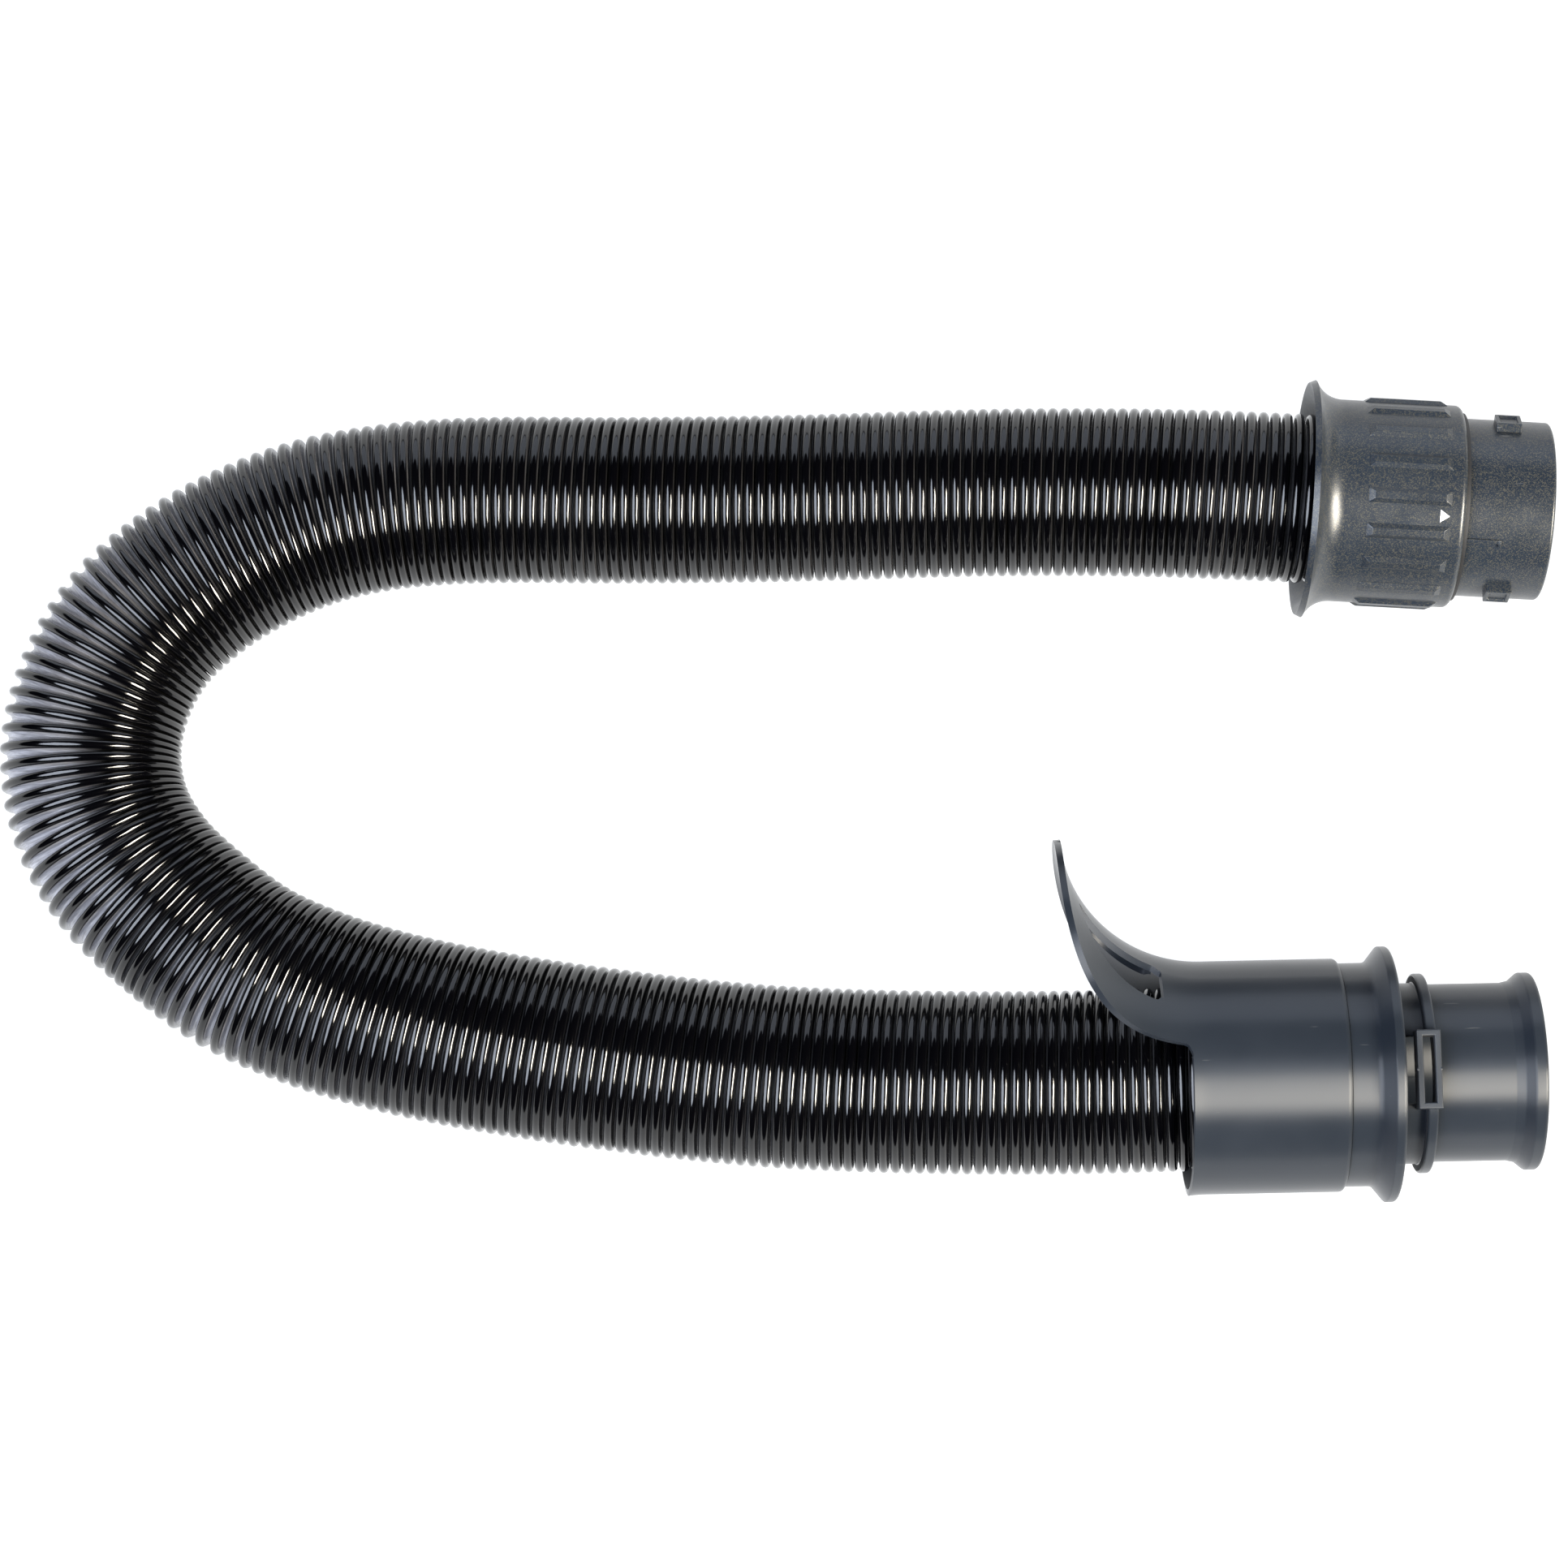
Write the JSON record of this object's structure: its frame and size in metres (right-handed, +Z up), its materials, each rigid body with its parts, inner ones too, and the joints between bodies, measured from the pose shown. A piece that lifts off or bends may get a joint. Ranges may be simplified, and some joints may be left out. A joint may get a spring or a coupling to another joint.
{
  "type": "vacuum hose",
  "caption": "Wire-reinforced stretch hose of an upright vacuum cleaner, lying in a U, with a turning bayonet wand cuff and a turning hooked machine cuff.",
  "frame": {"origin": "on the floor, at the middle of the lying hose's outline", "axes": "+Z up from the floor; +X from the bend towards the two cuffs; +Y from the machine side of the U to the wand side"},
  "size_m": [0.3903, 0.2055, 0.0689],
  "materials": {
    "hose_plastic": "glossy black ribs with a translucent smoke-grey web between them",
    "wire_steel": "hard-drawn spring wire",
    "fitting_plastic": "satin black",
    "ring_plastic": "natural acetal",
    "seal_rubber": "soft black rubber",
    "wand_cuff_plastic": "satin slate grey with a fine metallic fleck",
    "arrow_plastic": "white",
    "machine_cuff_plastic": "satin slate grey"
  },
  "bodies": {
    "wand_side_hose": {"hose_wall_wand_run": "hose_plastic", "hose_wall_bend": "hose_plastic", "wire_wand_run": "wire_steel", "wire_bend": "wire_steel", "wand_end_fitting": "fitting_plastic"},
    "machine_side_hose": {"hose_wall_machine_run": "hose_plastic", "wire_machine_run": "wire_steel", "machine_end_fitting": "fitting_plastic"},
    "wand_cuff": {"wand_snap_ring": "ring_plastic", "wand_lip_seal": "seal_rubber", "wand_grip_collar": "wand_cuff_plastic", "wand_bayonet_spigot": "wand_cuff_plastic", "wand_face_gasket": "seal_rubber", "wand_arrow_inlay": "arrow_plastic"},
    "machine_cuff": {"machine_snap_ring": "ring_plastic", "machine_lip_seal": "seal_rubber", "machine_hooked_sleeve": "machine_cuff_plastic", "machine_stop_body": "machine_cuff_plastic", "machine_spigot": "machine_cuff_plastic"}
  },
  "joints": [
    {"name": "hose_flex", "type": "hinge", "parent": "wand_side_hose", "child": "machine_side_hose", "pos_m": [-0.172, 0.011, 0.0228], "axis": [0, 0, 1], "range_deg": [-60, 12], "deforming": ["hose_wall_bend", "wire_bend"]},
    {"name": "wand_swivel", "type": "hinge", "parent": "wand_side_hose", "child": "wand_cuff", "pos_m": [0.136, 0.0728, 0.0298], "axis": [0.9981, -0.0614, 0], "continuous": true},
    {"name": "machine_swivel", "type": "hinge", "parent": "machine_side_hose", "child": "machine_cuff", "pos_m": [0.10501, -0.0725, 0.0314], "axis": [0.9998, 0.02, 0], "continuous": true}
  ]
}
